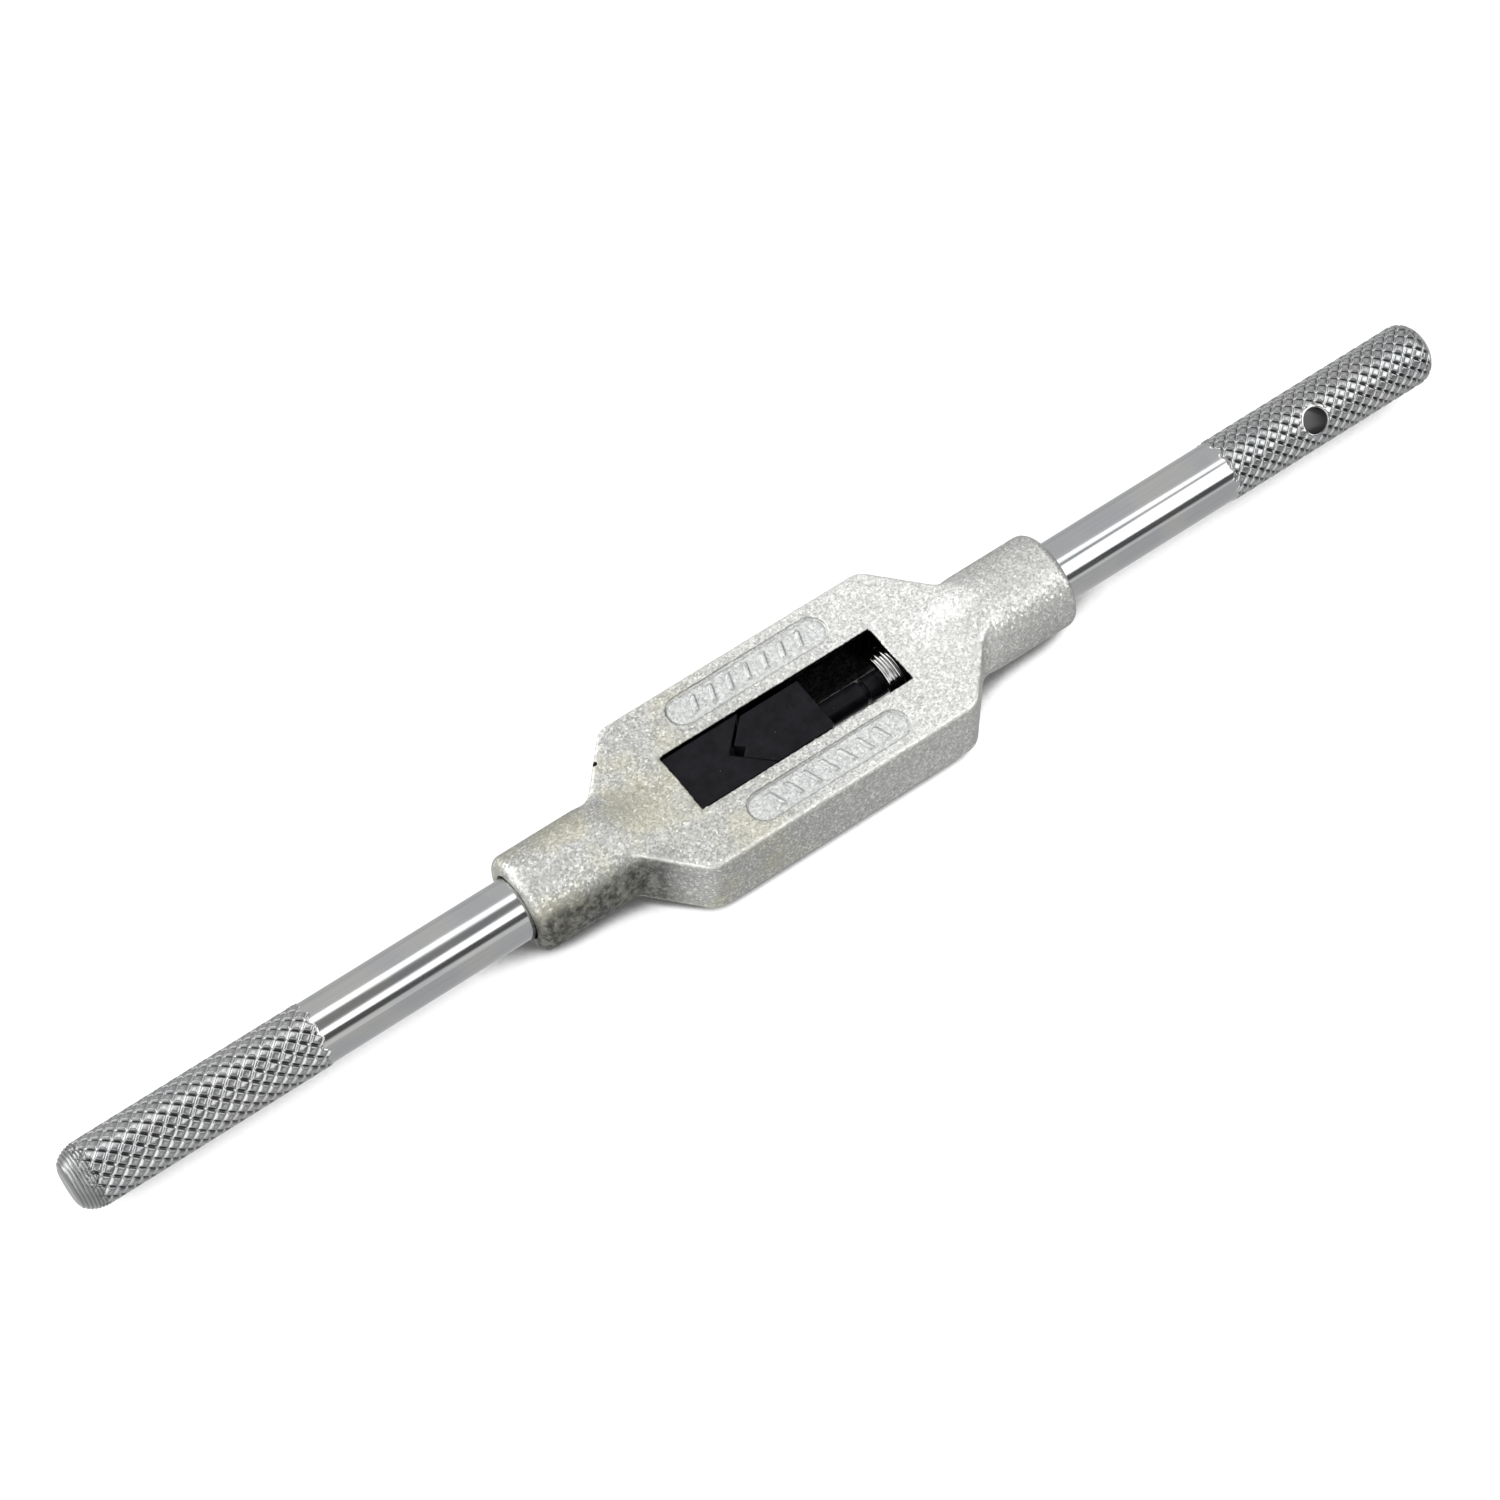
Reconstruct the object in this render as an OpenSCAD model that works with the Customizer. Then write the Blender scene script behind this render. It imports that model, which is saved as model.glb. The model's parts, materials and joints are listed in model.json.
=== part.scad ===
// Adjustable tap wrench, straight two-handle pattern, for small hand taps.
// The handle axis is X, the plate of the body lies in the XY plane, and the
// origin is the middle of the wrench's length. The adjusting handle points
// along +X. The modules are drawn about the body's centre and then placed.

/* [Body] */
// Length of the body over both bosses
body_l = 70.6; // [68:0.1:74]
// Length of the plate's straight long edge
flat_l = 34.4; // [32:0.1:36]
// Width of the plate
plate_w = 21.9; // [21:0.1:24]
// Thickness of the plate
plate_t = 8.6; // [8:0.1:9]
// Angle of the plate's slanted ends to the handle axis
slant_angle = 48.5; // [47:0.5:55]
// Diameter of the bosses that hold the handles
boss_d = 11.5; // [11:0.1:12.5]
// Radius on the outer edge of each boss
boss_edge_r = 1.2; // [0.6:0.1:1.4]

/* [Window] */
// Length of the window that holds the jaws
window_l = 27.5; // [27.3:0.1:27.7]
// Width of the window
window_w = 7.9; // [7.85:0.05:8.2]
// Distance from the body's centre to the window's centre
window_x = -0.15; // [-0.2:0.05:-0.1]

/* [Panels] */
// Length of the sunk panel on each side of the window
panel_l = 20.6; // [16:0.1:22]
// Width of the sunk panel
panel_w = 3.9; // [3:0.1:4]
// Distance from the handle axis to the middle of a panel
panel_y = 7.55; // [7.4:0.05:7.7]
// Depth of the sunk panel
panel_depth = 0.3; // [0.1:0.05:0.5]
// Number of raised ribs in the upper panels
rib_count = 7; // [3:1:9]

/* [Handles] */
// Distance from the body's centre to the fixed handle's tip
left_tip = 90.2; // [86:0.1:95]
// Distance from the body's centre to the adjusting handle's tip
right_tip = 88.6; // [86:0.1:95]
// Diameter of the plain part of the handles
rod_d = 7.2; // [7.15:0.01:7.4]
// Diameter over the knurl
knurl_d = 7.44; // [7.4:0.01:8]
// Length from where the knurl starts to the tip
knurl_l = 29.7; // [24:0.1:34]
// Diameter of the cross hole for a tommy bar
tommy_d = 3; // [2.5:0.1:3.5]
// Distance from the body's centre to the cross hole
tommy_x = 71; // [68:0.1:74]
// Angle of the cross hole above the plate's plane
tommy_angle = 46; // [0:1:90]

/* [Adjusting thread] */
// Outside diameter of the adjusting thread
thread_d = 7; // [6.9:0.05:7]
// Pitch of the adjusting thread
thread_pitch = 0.75; // [0.7:0.05:1]
// Length of the adjusting thread
thread_l = 18.4; // [17:0.1:18.4]

/* [Jaws] */
// Thickness of both jaws
jaw_t = 7.8; // [7.4:0.1:7.9]
// Width of the fixed jaw
fixed_jaw_w = 7.7; // [7.6:0.05:7.8]
// Width of the moving jaw
moving_jaw_w = 7.2; // [7:0.05:7.3]
// Distance from the body's centre to the bottom of the fixed jaw's notch
notch_x = -7.75; // [-8:0.05:-7.5]
// Length of the moving jaw, from the edge of its tip to its rear face
moving_jaw_l = 10.2; // [10:0.1:10.3]

/* [Spindle] */
// Diameter of the spindle between jaw and adjusting handle
spindle_d = 3; // [2.8:0.05:3]
// Diameter of the pin that keeps the spindle in the moving jaw
swivel_pin_d = 1.2; // [1:0.1:1.2]
// Diameter of the pin that keeps the fixed jaw on its handle
jaw_pin_d = 1.5; // [1.4:0.1:1.6]

/* [Hidden] */
$fn = 64;
// Overshoot of a cutting shape past the face it opens
cut = 1;
// Radial gap of a round piece that turns in its hole
turn_gap = 0.05;
// Gap that lets flat faces slide
slide_gap = 0.05;

// Body
body_x = (left_tip - right_tip) / 2;
body_end = body_l / 2;
flat_end = flat_l / 2;
boss_r = boss_d / 2;
plate_point = flat_end + plate_w / 2 / tan(slant_angle);
swell_start = flat_end - 2;
swell_end = plate_point - 1.5;
swell_r = plate_t / 2 - 0.3;
window_left = window_x - window_l / 2;
window_right = window_x + window_l / 2;
mouth_r = rod_d / 2 + 0.25;
left_mouth_l = 1.5;

// Handles
rod_r = rod_d / 2;
knurl_r = knurl_d / 2;
left_knurl = left_tip - knurl_l;
right_knurl = right_tip - knurl_l;
knurl_ramp = 0.3;
tip_cone_l = 3;
tip_face_r = 2.3;
dome_l = 2.2;
dome_r = knurl_r - 0.9;
dome_steps = 8;

// Fixed handle inside its boss
seat_r = thread_d / 2;
seat_end = window_left - 3;
spigot_r = 2;
spigot_end = window_left + 3.3;

// Adjusting handle inside its boss
nose_x = window_right - 2;
nose_r = seat_r - 0.9;
nose_l = 0.6;
thread_start = nose_x + nose_l;
thread_end = thread_start + thread_l;
thread_depth = 0.4;
thread_bore_r = seat_r + turn_gap;
shoulder_gap = 0.5;
mouth_start = thread_end - shoulder_gap;
shank_r = 1.25;
shank_end = nose_x + 6.5;

// Jaws
jaw_z = jaw_t / 2;
fixed_jaw_rear = window_left + slide_gap;
moving_jaw_y = -0.2;
tip_gap = 0.3;
tip_half_w = 0.9;
tip_x = notch_x + tip_gap + tip_half_w;
jaw_rear = tip_x + moving_jaw_l;
rear_chamfer = 0.5;

// Spindle
spindle_r = spindle_d / 2;
socket_end = jaw_rear - 5.2;
spindle_start = socket_end + 0.2;
neck_r = 0.85;
swivel_pin_r = swivel_pin_d / 2;
swivel_x = jaw_rear - 3;
swivel_y = neck_r + turn_gap + swivel_pin_r;
swivel_pin_top = 2.2;
neck_half_l = swivel_pin_r + 0.1;
relief_r = 1.1;
relief_l = 0.5;
collar_l = 1.5;
relief_end = nose_x - collar_l;

// Fixed jaw's pin
jaw_pin_r = jaw_pin_d / 2;
jaw_pin_x = window_left + 1.9;
jaw_pin_top = 3;

// Ribs in the panels
rib_w = 0.5;
rib_l = 2;
rib_h = 0.2;
rib_pitch = 2.3;

// Moves a piece from the body's centre to its place about the origin
module placed() {
    translate([body_x, 0, 0])
        children();
}

// A solid of revolution about X from [x, radius] points
module turned(points) {
    rotate([90, 0, 90])
        rotate_extrude()
            polygon([for (p = points) [p[1], p[0]]]);
}

// A round bar along X from x0 to x1
module bar_x(radius, x0, x1) {
    translate([x0, 0, 0])
        rotate([0, 90, 0])
            cylinder(r = radius, h = x1 - x0);
}

// One boss with its rounded end and the swell that runs into the plate
module boss() {
    turned([[0, 0], [swell_start, 0], [swell_start, swell_r],
            [swell_end, boss_r], [body_end - boss_edge_r, boss_r],
            [body_end - boss_edge_r, 0]]);
    rotate([90, 0, 90])
        rotate_extrude() {
            translate([0, body_end - boss_edge_r - cut])
                square([boss_r - boss_edge_r, boss_edge_r + cut]);
            intersection() {
                translate([boss_r - boss_edge_r, body_end - boss_edge_r])
                    circle(r = boss_edge_r);
                translate([0, body_end - boss_edge_r])
                    square([boss_r, boss_edge_r]);
            }
        }
}

// Six-sided plate
module plate() {
    side = plate_w / 2;
    translate([0, 0, -plate_t / 2])
        linear_extrude(plate_t)
            polygon([[-plate_point, 0], [-flat_end, side], [flat_end, side],
                     [plate_point, 0], [flat_end, -side], [-flat_end, -side]]);
}

// Cutter for one sunk panel with round ends, open upwards from z = 0
module panel_cutter() {
    straight = panel_l - panel_w;
    linear_extrude(cut) {
        translate([-straight / 2, -panel_w / 2])
            square([straight, panel_w]);
        for (side = [-1, 1])
            translate([side * straight / 2, 0])
                circle(d = panel_w);
    }
}

// Row of raised ribs on the floor of a panel
module panel_ribs() {
    for (i = [0 : rib_count - 1])
        translate([(i - (rib_count - 1) / 2) * rib_pitch - rib_w / 2, -rib_l / 2, -cut])
            cube([rib_w, rib_l, rib_h + cut]);
}

module body() {
    color("gainsboro") {
        difference() {
            union() {
                plate();
                boss();
                mirror([1, 0, 0])
                    boss();
            }
            translate([window_left, -window_w / 2, -boss_r - cut])
                cube([window_l, window_w, boss_d + 2 * cut]);
            for (side = [-1, 1], face = [0, 1])
                mirror([0, 0, face])
                    translate([0, side * panel_y, plate_t / 2 - panel_depth])
                        panel_cutter();
            bar_x(seat_r, -body_end - cut, seat_end);
            bar_x(mouth_r, -body_end - cut, left_mouth_l - body_end);
            bar_x(spigot_r + turn_gap, seat_end - cut, window_left + cut);
            bar_x(thread_bore_r, window_right - cut, body_end + cut);
            bar_x(mouth_r, mouth_start, body_end + cut);
        }
        for (side = [-1, 1])
            translate([0, side * panel_y, plate_t / 2 - panel_depth])
                panel_ribs();
    }
}

module fixed_handle() {
    color("silver")
        difference() {
            turned([[-left_tip, 0], [-left_tip, tip_face_r], [tip_cone_l - left_tip, knurl_r],
                    [-left_knurl, knurl_r], [knurl_ramp - left_knurl, rod_r],
                    [left_mouth_l - body_end, rod_r], [left_mouth_l - body_end, seat_r],
                    [seat_end, seat_r], [seat_end, spigot_r], [spigot_end, spigot_r],
                    [spigot_end, 0]]);
            translate([jaw_pin_x, 0, -spigot_r - cut])
                cylinder(r = jaw_pin_r, h = 2 * (spigot_r + cut));
        }
}

module fixed_jaw() {
    side = fixed_jaw_w / 2;
    color("dimgray")
        difference() {
            translate([0, 0, -jaw_z])
                linear_extrude(jaw_t)
                    polygon([[fixed_jaw_rear, -side], [notch_x + side, -side], [notch_x, 0],
                             [notch_x + side, side], [fixed_jaw_rear, side]]);
            bar_x(spigot_r, fixed_jaw_rear - cut, spigot_end);
            translate([jaw_pin_x, 0, -jaw_z - cut])
                cylinder(r = jaw_pin_r, h = jaw_z + cut + jaw_pin_top);
        }
}

module fixed_jaw_pin() {
    color("gray")
        translate([jaw_pin_x, 0, -jaw_z])
            cylinder(r = jaw_pin_r, h = jaw_z + jaw_pin_top);
}

module moving_jaw() {
    side = moving_jaw_w / 2;
    shoulder = tip_x + side - tip_half_w;
    color("dimgray")
        difference() {
            translate([0, moving_jaw_y, -jaw_z])
                linear_extrude(jaw_t)
                    polygon([[tip_x + tip_half_w, 0], [tip_x, tip_half_w], [shoulder, side],
                             [jaw_rear, side], [jaw_rear, rear_chamfer - side],
                             [jaw_rear - rear_chamfer, -side], [shoulder, -side],
                             [tip_x, -tip_half_w]]);
            bar_x(spindle_r + turn_gap, socket_end, jaw_rear + cut);
            translate([swivel_x, swivel_y, -jaw_z - cut])
                cylinder(r = swivel_pin_r, h = jaw_z + cut + swivel_pin_top);
        }
}

module swivel_pin() {
    color("gray")
        translate([swivel_x, swivel_y, -jaw_z])
            cylinder(r = swivel_pin_r, h = jaw_z + swivel_pin_top);
}

module spindle() {
    neck_start = swivel_x - neck_half_l;
    neck_end = swivel_x + neck_half_l;
    color("dimgray")
        turned([[spindle_start, 0], [spindle_start, spindle_r], [neck_start, spindle_r],
                [neck_start, neck_r], [neck_end, neck_r], [neck_end, spindle_r],
                [relief_end - relief_l, spindle_r], [relief_end - relief_l, relief_r],
                [relief_end, relief_r], [relief_end, spindle_r], [nose_x, spindle_r],
                [nose_x, shank_r], [shank_end, shank_r], [shank_end, 0]]);
}

module adjusting_handle() {
    root_r = seat_r - thread_depth;
    ridges = floor(thread_l / thread_pitch);
    thread_points = [for (i = [0 : ridges - 1], corner = [[0, root_r], [0.4, seat_r],
                         [0.55, seat_r], [0.95, root_r]])
                         [thread_start + (i + corner[0]) * thread_pitch, corner[1]]];
    dome_points = [for (i = [0 : dome_steps])
                       [right_tip - dome_l + dome_l * sin(90 * i / dome_steps),
                        knurl_r - dome_r + dome_r * cos(90 * i / dome_steps)]];
    color("silver")
        difference() {
            turned(concat([[nose_x, 0], [nose_x, nose_r]], thread_points,
                          [[thread_end, root_r], [thread_end, rod_r],
                           [right_knurl - knurl_ramp, rod_r], [right_knurl, knurl_r]],
                          dome_points, [[right_tip, 0]]));
            bar_x(shank_r, nose_x - cut, shank_end);
            translate([tommy_x, 0, 0])
                rotate([90 - tommy_angle, 0, 0])
                    cylinder(d = tommy_d, h = 2 * rod_d, center = true);
        }
}

placed() body();
placed() fixed_handle();
placed() fixed_jaw();
placed() fixed_jaw_pin();
placed() moving_jaw();
placed() swivel_pin();
placed() spindle();
placed() adjusting_handle();
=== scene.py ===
"""Adjustable tap wrench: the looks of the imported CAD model.

Each visible piece is a fine mesh that stands for one CAD node. The castings and the
jaws are meshed from distance fields, and the round pieces are turned on their axes.
Shape values are in millimetres from the body's centre, on the handle axis. Each mesh
becomes metres, and moves to its place in the frame, as it is made.
"""
import json
import math

import bpy
import numpy as np
from mathutils import Matrix, Vector


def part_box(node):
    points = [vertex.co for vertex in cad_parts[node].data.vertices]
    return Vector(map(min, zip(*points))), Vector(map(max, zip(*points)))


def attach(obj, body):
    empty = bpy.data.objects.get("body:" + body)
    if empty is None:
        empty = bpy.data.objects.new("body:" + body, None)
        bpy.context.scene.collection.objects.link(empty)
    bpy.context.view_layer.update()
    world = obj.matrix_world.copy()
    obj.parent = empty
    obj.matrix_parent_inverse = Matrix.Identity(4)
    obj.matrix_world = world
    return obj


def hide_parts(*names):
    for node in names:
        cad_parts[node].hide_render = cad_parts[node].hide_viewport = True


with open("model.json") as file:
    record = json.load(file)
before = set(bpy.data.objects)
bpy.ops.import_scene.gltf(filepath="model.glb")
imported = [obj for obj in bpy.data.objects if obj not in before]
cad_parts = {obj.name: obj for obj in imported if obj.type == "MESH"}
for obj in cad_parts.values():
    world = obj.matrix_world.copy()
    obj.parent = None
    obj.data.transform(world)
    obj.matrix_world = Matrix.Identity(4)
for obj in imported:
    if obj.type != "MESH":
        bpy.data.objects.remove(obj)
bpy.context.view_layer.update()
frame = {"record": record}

MM = 0.001
TAU = 2 * math.pi


# ---------------------------------------------------------------- sizes from the frame

body_box = np.array(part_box("body")) / MM
CENTRE = np.array([body_box[:, 0].mean(), 0, 0])


def node_box(node):
    """Lowest and highest corner of a CAD node, in millimetres from the body's centre."""
    low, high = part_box(node)
    return np.array(low) / MM - CENTRE, np.array(high) / MM - CENTRE


body_low, body_high = node_box("body")
left_low, left_high = node_box("fixed_handle")
right_low, right_high = node_box("adjusting_handle")
fixed_low, fixed_high = node_box("fixed_jaw")
moving_low, moving_high = node_box("moving_jaw")
spindle_low, spindle_high = node_box("spindle")
dowel_low, dowel_high = node_box("fixed_jaw_pin")
swivel_low, swivel_high = node_box("swivel_pin")
record_mounts = {m["name"]: m for m in frame["record"]["mounts"]}

# Body
BODY_END = body_high[0]
BOSS_R = body_high[2]
PLATE_SIDE = body_high[1]
PLATE_TOP = 4.3
PLATE_ROUND = 0.5
FLAT_END = 17.2
SLANT = math.radians(48.5)
PLATE_POINT = FLAT_END + PLATE_SIDE / math.tan(SLANT)
BOSS_EDGE = 1.2
NECK_R = 3.9
SWELL = (FLAT_END - 2, PLATE_POINT - 1.5)
WINDOW_X = -0.15
WINDOW_HALF = (13.75, 3.95)
WINDOW_ROUND = (0.5, 0.18)    # at its four corners, and along its rim
PANEL_Y = 7.55
PANEL_HALF = (10.3, 1.95)
PANEL_DEPTH = 0.3
PANEL_FLOOR = PLATE_TOP - PANEL_DEPTH
PANEL_WALL = PLATE_TOP - 0.6
RIBS = 7
RIB_PITCH = 2.3
RIB_HALF = (0.27, 1.0)
RIB_LEAN = 0.35
RIB_HEIGHT = 0.24

# Bores in the body: the mouths at the boss ends, the thread seats and the spigot's hole
RIGHT_MOUTH_L = 5.2
LEFT_MOUTH_L = 1.5
TAPPED_START = 12
SEAT_END = 16.9
BORE_GAP = 0.05
SPIGOT_R = 2.0
SPIGOT_SPAN = (-18, -13)

# Small casting flaw at the far left edge of the plate
FLAW = (-19.9, 7.5, PLATE_TOP - 0.15)

# Handles
ROD_R = 3.6
KNURL_R = right_high[1]
KNURL_L = 29.7
KNURL_STARTS = 14
KNURL_DEPTH = 0.27
KNURL_GROOVE = 0.2
KNURL_CELLS = 20
LEFT_PITCH = 1.775
RIGHT_PITCH = 1.64
THREAD_R = 3.5
THREAD_DEPTH = 0.4
THREAD_PITCH = 0.75
THREAD_L = 19.0
MOUTH_R = 3.85
TIP_X = right_high[0]
TIP_CONE = 3.0
TIP_FACE_R = 2.3
TURNING_PITCH = 0.36
AXIS_R = 0.05
HOLE = record_mounts["tommy_bar_hole"]
HOLE_X = HOLE["pos_m"][0] / MM - CENTRE[0]
HOLE_R = HOLE["dims"]["r_mm"]
HOLE_RIM_DEPTH = 0.14
HOLE_AXIS = tuple(HOLE["axis"])


# ---------------------------------------------------------------- number helpers

def smooth_step(low, high, value):
    t = np.clip((value - low) / (high - low), 0.0, 1.0)
    return t * t * (3 - 2 * t)


def smooth_max(a, b, radius):
    """The larger of two distances, with the edge between them rounded."""
    h = np.clip(0.5 + 0.5 * (a - b) / radius, 0.0, 1.0)
    return b + (a - b) * h + radius * h * (1 - h)


def smooth_min(a, b, radius):
    return -smooth_max(-a, -b, radius)


class Grain:
    """Smooth repeatable noise in space, from -1 to 1."""

    def __init__(self, seed, size=48):
        self.size = size
        self.table = np.random.default_rng(seed).uniform(-1, 1, (size, size, size))

    def __call__(self, p, wavelength):
        q = p / wavelength
        base = np.floor(q).astype(int)
        f = q - base
        f = f * f * (3 - 2 * f)
        total = 0
        for corner in np.ndindex(2, 2, 2):
            weight = np.prod(np.where(corner, f, 1 - f), axis=1)
            i, j, k = ((base + corner) % self.size).T
            total = total + weight * self.table[i, j, k]
        return total


grain = Grain(7)


# ---------------------------------------------------------------- mesh helpers

def make_piece(name, verts, faces, material, node, body, marks=None):
    """A smooth mesh in metres that stands for a CAD node and rides on its body.

    marks gives named numbers for each corner, which the material reads.
    """
    mesh = bpy.data.meshes.new(name)
    mesh.from_pydata(((np.asarray(verts) + CENTRE) * MM).tolist(), [], faces)
    for mark, values in (marks or {}).items():
        mesh.attributes.new(mark, "FLOAT", "POINT").data.foreach_set("value", values)
    mesh.validate()
    mesh.polygons.foreach_set("use_smooth", [True] * len(mesh.polygons))
    mesh.update()
    piece = bpy.data.objects.new(name, mesh)
    bpy.context.scene.collection.objects.link(piece)
    piece.data.materials.append(material)
    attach(piece, body)
    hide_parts(node)
    return piece


def surface_net(field, low, high, step):
    """Quads on the zero surface of a distance field, with each corner moved onto it."""
    # The field on a grid, one slice along X at a time
    axes = [np.arange(a, b + step, step) for a, b in zip(low, high)]
    shape = tuple(len(a) for a in axes)
    values = np.empty(shape, np.float32)
    yz = np.stack(np.meshgrid(axes[1], axes[2], indexing="ij"), -1).reshape(-1, 2)
    for i, x in enumerate(axes[0]):
        points = np.column_stack([np.full(len(yz), x), yz])
        values[i] = field(points).reshape(shape[1:])

    # One corner in each cell that the surface passes through
    inside = values < 0
    count = np.zeros([n - 1 for n in shape], np.int8)
    for a, b, c in np.ndindex(2, 2, 2):
        count += inside[a:shape[0] - 1 + a, b:shape[1] - 1 + b, c:shape[2] - 1 + c]
    active = (count > 0) & (count < 8)
    cells = np.argwhere(active)
    index = np.full(active.shape, -1, np.int64)
    index[active] = np.arange(len(cells))

    # Each corner is the mean of the crossings on its cell's edges, and each crossed edge
    # of the grid gives one quad
    total = np.zeros((len(cells), 3))
    hits = np.zeros(len(cells))
    faces = []
    for axis in range(3):
        others = [(axis + 1) % 3, (axis + 2) % 3]
        step_along = np.eye(3, dtype=int)[axis]
        for a, b in np.ndindex(2, 2):
            start = cells.copy()
            start[:, others[0]] += a
            start[:, others[1]] += b
            f0 = values[tuple(start.T)]
            f1 = values[tuple((start + step_along).T)]
            crosses = (f0 < 0) != (f1 < 0)
            t = np.where(crosses, f0 / np.where(crosses, f0 - f1, 1), 0)
            total += crosses[:, None] * (start + t[:, None] * step_along)
            hits += crosses
        near = [slice(0, n - (i == axis)) for i, n in enumerate(shape)]
        far = [slice((i == axis) * 1, n) for i, n in enumerate(shape)]
        edges = np.argwhere(inside[tuple(near)] != inside[tuple(far)])
        corners = []
        for a, b in ((-1, -1), (0, -1), (0, 0), (-1, 0)):
            cell = edges.copy()
            cell[:, others[0]] += a
            cell[:, others[1]] += b
            corners.append(index[tuple(cell.T)])
        quads = np.stack(corners, 1)
        flip = ~inside[tuple(edges.T)]
        quads[flip] = quads[flip][:, ::-1]
        faces.append(quads)

    verts = np.array([a[0] for a in axes]) + total / hits[:, None] * step

    # Short steps onto the exact surface
    for _ in range(3):
        verts = verts - onto_surface(field, verts, 0.3 * step)
    return verts, np.concatenate(faces).tolist()


def onto_surface(field, points, reach):
    """The short step that takes each point to the zero surface."""
    slope = np.stack([(field(points + reach * e) - field(points - reach * e)) / (2 * reach)
                      for e in np.eye(3)], 1)
    length = np.maximum((slope ** 2).sum(1), 0.2)
    step = slope * (field(points) / length)[:, None]
    return np.clip(step, -2 * reach, 2 * reach)


def turned(rows, radius, segments, centre=(0, 0, 0), axis="X"):
    """A closed solid of revolution. radius(x, angle) may vary round the axis."""
    angles = np.arange(segments) * TAU / segments
    x = np.repeat(rows, segments)
    a = np.tile(angles, len(rows))
    r = radius(x, a)
    if axis == "X":
        ring = np.column_stack([x, r * np.cos(a), r * np.sin(a)])
        poles = [[rows[0], 0, 0], [rows[-1], 0, 0]]
    else:
        ring = np.column_stack([r * np.cos(a), r * np.sin(a), x])
        poles = [[0, 0, rows[0]], [0, 0, rows[-1]]]
    verts = np.vstack([ring, poles]) + np.asarray(centre)
    faces = []
    for i in range(len(rows) - 1):
        for j in range(segments):
            k = (j + 1) % segments
            a0, a1 = i * segments + j, i * segments + k
            faces.append((a0, a1, a1 + segments, a0 + segments))
    first, last = len(rows) * segments, len(rows) * segments + 1
    top = (len(rows) - 1) * segments
    for j in range(segments):
        k = (j + 1) % segments
        faces.append((first, k, j))
        faces.append((last, top + j, top + k))
    return verts, faces


def profile(points, edge=0.08, steps=4):
    """Rows and a radius function from [x, radius] points, with small rounds at corners."""
    path = []
    pts = [np.array(p, float) for p in points]
    for i, p in enumerate(pts):
        if i in (0, len(pts) - 1):
            path.append(p)
            continue
        back, ahead = pts[i - 1] - p, pts[i + 1] - p
        reach = min(edge, np.linalg.norm(back) / 3, np.linalg.norm(ahead) / 3)
        start = p + back / np.linalg.norm(back) * reach
        end = p + ahead / np.linalg.norm(ahead) * reach
        for t in np.linspace(0, 1, steps + 1):
            path.append((1 - t) ** 2 * start + 2 * t * (1 - t) * p + t * t * end)
    path = np.array(path)
    rows = path[:, 0] + np.arange(len(path)) * 1e-6
    return rows, path[:, 1]


# ---------------------------------------------------------------- materials

class Nodes:
    """Short calls that add nodes to a material or a world."""

    def __init__(self, tree):
        self.tree = tree

    def node(self, kind, **settings):
        made = self.tree.nodes.new(kind)
        for key, value in settings.items():
            setattr(made, key, value)
        return made

    def link(self, source, target):
        if hasattr(source, "is_output"):
            self.tree.links.new(source, target)
        else:
            target.default_value = source

    def math(self, operation, a, b=0.0, c=0.0):
        made = self.node("ShaderNodeMath", operation=operation)
        for source, target in zip((a, b, c), made.inputs):
            self.link(source, target)
        return made.outputs[0]

    def ramp(self, value, low, high, low_out=0.0, high_out=1.0):
        made = self.node("ShaderNodeMapRange", interpolation_type="SMOOTHSTEP")
        for source, target in zip((value, low, high, low_out, high_out), made.inputs):
            self.link(source, target)
        return made.outputs[0]


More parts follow.
